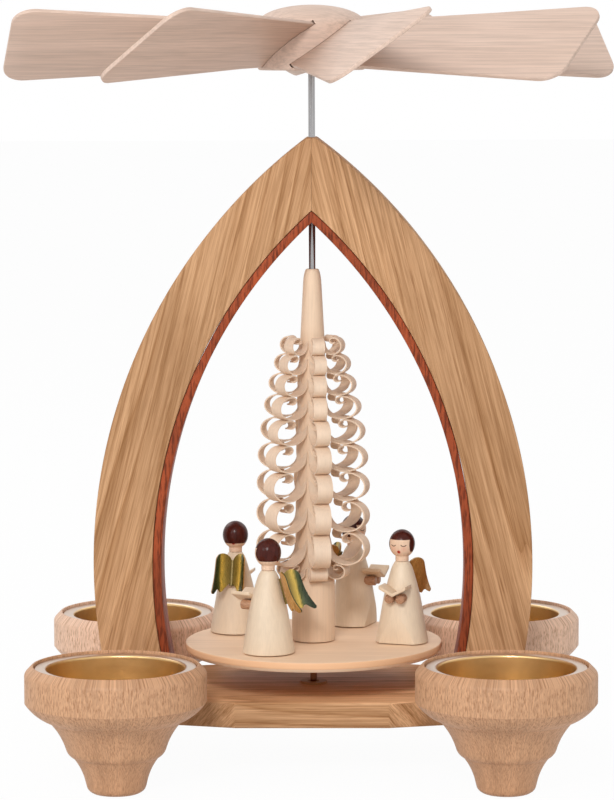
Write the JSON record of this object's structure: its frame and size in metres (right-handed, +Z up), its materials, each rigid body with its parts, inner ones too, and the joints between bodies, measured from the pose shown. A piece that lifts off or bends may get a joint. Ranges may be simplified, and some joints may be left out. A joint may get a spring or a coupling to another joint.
{
  "type": "christmas pyramid",
  "caption": "Table candle carousel: pointed wooden arch on turned candle cups, with a bladed rotor that spins a stage holding a curled-shaving tree and singing angels.",
  "frame": {"origin": "on the spin axis at the level of the surface that the cups stand on", "axes": "+Z up along the shaft, +X to the right as seen from the front, -Y towards the viewer"},
  "size_m": [0.1808, 0.1808, 0.2273],
  "materials": {
    "ash": "clear satin lacquer on ash",
    "red_wood": "clear satin lacquer on red hardwood",
    "beech": "clear satin lacquer on beech",
    "linden": "raw smooth linden",
    "brass": "satin spun brass",
    "steel": "bright drawn steel",
    "glass": "clear",
    "cream_paint": "cream glaze on linden",
    "skin": "painted face and hair on linden",
    "gold_paint": "gold bronze paint on plywood",
    "paper": "raw pale wood",
    "hand_wood": "brown end grain"
  },
  "bodies": {
    "frame": {"base_plate": "ash", "arch_left": "ash", "arch_right": "ash", "lining_left": "red_wood", "lining_right": "red_wood", "leg_dowel_left": "beech", "leg_dowel_right": "beech", "cup_front_left": "beech", "cup_front_right": "beech", "cup_back_left": "beech", "cup_back_right": "beech", "cup_dowel_front_left": "beech", "cup_dowel_front_right": "beech", "cup_dowel_back_left": "beech", "cup_dowel_back_right": "beech", "guide_bush": "brass", "pivot_bearing": "glass"},
    "spindle": {"shaft": "steel", "stage": "linden", "curl_tree": "linden", "angel_back_left_robe": "cream_paint", "angel_back_left_head": "skin", "angel_back_left_wings": "gold_paint", "angel_back_left_book": "paper", "angel_back_left_left_hand": "hand_wood", "angel_back_left_right_hand": "hand_wood", "angel_front_left_robe": "cream_paint", "angel_front_left_head": "skin", "angel_front_left_wings": "gold_paint", "angel_front_left_book": "paper", "angel_front_left_left_hand": "hand_wood", "angel_front_left_right_hand": "hand_wood", "angel_back_right_robe": "cream_paint", "angel_back_right_head": "skin", "angel_back_right_wings": "gold_paint", "angel_back_right_book": "paper", "angel_back_right_left_hand": "hand_wood", "angel_back_right_right_hand": "hand_wood", "angel_front_right_robe": "cream_paint", "angel_front_right_head": "skin", "angel_front_right_wings": "gold_paint", "angel_front_right_book": "paper", "angel_front_right_left_hand": "hand_wood", "angel_front_right_right_hand": "hand_wood"},
    "rotor": {"rotor_hub": "linden", "blade_1": "linden", "blade_2": "linden", "blade_3": "linden", "blade_4": "linden", "blade_5": "linden", "blade_6": "linden", "blade_7": "linden", "blade_8": "linden"},
    "insert_front_left": {"insert_front_left": "brass"},
    "insert_front_right": {"insert_front_right": "brass"},
    "insert_back_left": {"insert_back_left": "brass"},
    "insert_back_right": {"insert_back_right": "brass"}
  },
  "joints": [
    {"name": "spindle_spin", "type": "hinge", "parent": "frame", "child": "spindle", "pos_m": [0, 0, 0.0233], "axis": [0, 0, 1], "continuous": true},
    {"name": "rotor_lift", "type": "slide", "parent": "spindle", "child": "rotor", "axis": [0, 0, 1], "range_m": [0, 0.03]},
    {"name": "insert_front_left_lift", "type": "slide", "parent": "frame", "child": "insert_front_left", "axis": [0, 0, 1], "range_m": [0, 0.03]},
    {"name": "insert_front_right_lift", "type": "slide", "parent": "frame", "child": "insert_front_right", "axis": [0, 0, 1], "range_m": [0, 0.03]},
    {"name": "insert_back_left_lift", "type": "slide", "parent": "frame", "child": "insert_back_left", "axis": [0, 0, 1], "range_m": [0, 0.03]},
    {"name": "insert_back_right_lift", "type": "slide", "parent": "frame", "child": "insert_back_right", "axis": [0, 0, 1], "range_m": [0, 0.03]}
  ]
}
